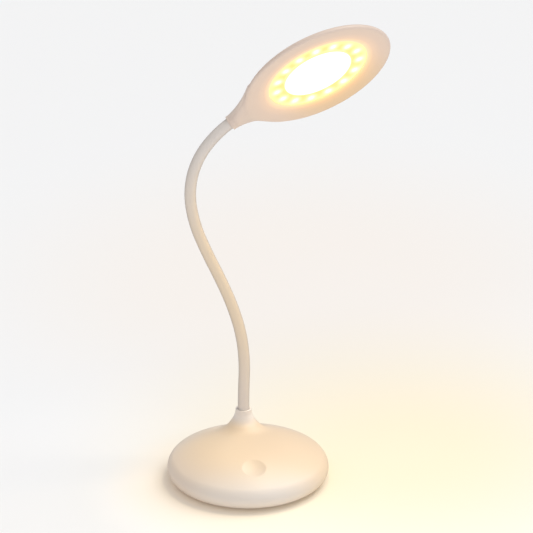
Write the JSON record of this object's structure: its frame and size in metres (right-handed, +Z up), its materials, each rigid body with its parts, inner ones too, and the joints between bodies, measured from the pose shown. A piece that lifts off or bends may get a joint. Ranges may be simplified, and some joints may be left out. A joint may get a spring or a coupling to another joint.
{
  "type": "gooseneck desk lamp",
  "caption": "Rechargeable desk lamp: round weighted base with a touch dish, flexible gooseneck, and a thin round head with a lit centre disc and a ring of small lamps.",
  "frame": {"origin": "middle of the foot pad's flat underside, on the desk", "axes": "+Z up, -Y towards the user's side of the base, where the touch dish is, +X to the right"},
  "size_m": [0.1837, 0.1298, 0.3931],
  "materials": {
    "base_shell": "fine satin, off-white",
    "bottom_cover": "fine satin, off-white",
    "foot_rubber": "matt, dark grey",
    "screw_steel": "plain",
    "weight_iron": "as cast, painted",
    "cell_wrap": "foil pouch, dull",
    "foam": "open foam tape",
    "lead_insulation": "smooth insulation",
    "lamp_lead": "smooth insulation",
    "green_board": "solder resist",
    "component_black": "moulded",
    "copper_foil": "bare copper foil",
    "socket_steel": "plated",
    "tongue_black": "moulded",
    "ferrule_brass": "turned",
    "washer_steel": "plated",
    "neck_sleeve": "soft satin silicone, off-white",
    "neck_hose": "wound strip",
    "head_shell": "fine satin, off-white",
    "lens_clear": "clear with a faint milk",
    "diffuser_white": "milky",
    "tray_white": "bright white",
    "white_board": "white solder resist on aluminium",
    "lamp_chip": "phosphor face"
  },
  "bodies": {
    "base": {"base_top_shell": "base_shell", "base_bottom_cover": "bottom_cover", "foot_pad": "foot_rubber", "base_screws": "screw_steel", "counterweight": "weight_iron", "counterweight_screws": "screw_steel", "battery_cell": "cell_wrap", "battery_pad": "foam", "battery_leads": "lead_insulation", "control_board": "green_board", "board_screws": "screw_steel", "board_components": "component_black", "touch_electrode": "copper_foil", "touch_lead": "lead_insulation", "charge_board": "green_board", "charge_socket": "socket_steel", "socket_tongue": "tongue_black", "charge_leads": "lead_insulation", "neck_base_ferrule": "ferrule_brass", "neck_washer": "washer_steel", "neck_nut": "ferrule_brass", "neck_sleeve_01": "neck_sleeve", "neck_hose_01": "neck_hose", "lead_wires": "lamp_lead"},
    "neck_link_2": {"neck_sleeve_02": "neck_sleeve", "neck_hose_02": "neck_hose"},
    "neck_link_3": {"neck_sleeve_03": "neck_sleeve", "neck_hose_03": "neck_hose"},
    "neck_link_4": {"neck_sleeve_04": "neck_sleeve", "neck_hose_04": "neck_hose"},
    "neck_link_5": {"neck_sleeve_05": "neck_sleeve", "neck_hose_05": "neck_hose"},
    "neck_link_6": {"neck_sleeve_06": "neck_sleeve", "neck_hose_06": "neck_hose"},
    "neck_link_7": {"neck_sleeve_07": "neck_sleeve", "neck_hose_07": "neck_hose"},
    "neck_link_8": {"neck_sleeve_08": "neck_sleeve", "neck_hose_08": "neck_hose"},
    "neck_link_9": {"neck_sleeve_09": "neck_sleeve", "neck_hose_09": "neck_hose"},
    "head": {"neck_sleeve_10": "neck_sleeve", "neck_hose_10": "neck_hose", "neck_head_ferrule": "ferrule_brass", "neck_clip": "screw_steel", "head_face_shell": "head_shell", "head_back_shell": "head_shell", "lens": "lens_clear", "centre_diffuser": "diffuser_white", "reflector_tray": "tray_white", "led_board": "white_board", "ring_leds": "lamp_chip", "centre_leds": "lamp_chip", "led_board_screws": "screw_steel"}
  },
  "joints": [
    {"name": "neck_bend_1", "type": "hinge", "parent": "base", "child": "neck_link_2", "pos_m": [0.00059, 0.02804, 0.07549], "axis": [-0.0698, 0.9976, 0], "range_deg": [-24, 24], "deforming": ["lead_wires"]},
    {"name": "neck_side_1", "type": "hinge", "parent": "neck_link_2", "child": "neck_link_3", "pos_m": [-0.00023, 0.02798, 0.10245], "axis": [-0.9921, -0.0694, -0.1045], "range_deg": [-20, 20], "deforming": ["lead_wires"]},
    {"name": "neck_bend_2", "type": "hinge", "parent": "neck_link_3", "child": "neck_link_4", "pos_m": [-0.00537, 0.02762, 0.12892], "axis": [-0.0698, 0.9976, 0], "range_deg": [-24, 24], "deforming": ["lead_wires"]},
    {"name": "neck_side_2", "type": "hinge", "parent": "neck_link_4", "child": "neck_link_5", "pos_m": [-0.01413, 0.02701, 0.15444], "axis": [-0.9249, -0.0647, -0.3746], "range_deg": [-20, 20], "deforming": ["lead_wires"]},
    {"name": "neck_bend_3", "type": "hinge", "parent": "neck_link_5", "child": "neck_link_6", "pos_m": [-0.02476, 0.02627, 0.17925], "axis": [-0.0698, 0.9976, 0], "range_deg": [-24, 24], "deforming": ["lead_wires"]},
    {"name": "neck_side_3", "type": "hinge", "parent": "neck_link_6", "child": "neck_link_7", "pos_m": [-0.03507, 0.02555, 0.20419], "axis": [-0.9344, -0.0653, -0.3502], "range_deg": [-20, 20], "deforming": ["lead_wires"]},
    {"name": "neck_bend_4", "type": "hinge", "parent": "neck_link_7", "child": "neck_link_8", "pos_m": [-0.0418, 0.02508, 0.23028], "axis": [-0.0698, 0.9976, 0], "range_deg": [-24, 24], "deforming": ["lead_wires"]},
    {"name": "neck_side_4", "type": "hinge", "parent": "neck_link_8", "child": "neck_link_9", "pos_m": [-0.04087, 0.02514, 0.25711], "axis": [-0.9739, -0.0681, 0.2164], "range_deg": [-20, 20], "deforming": ["lead_wires"]},
    {"name": "neck_bend_5", "type": "hinge", "parent": "neck_link_9", "child": "head", "pos_m": [-0.02978, 0.02592, 0.2815], "axis": [-0.0698, 0.9976, 0], "range_deg": [-24, 24], "deforming": ["lead_wires"]}
  ]
}
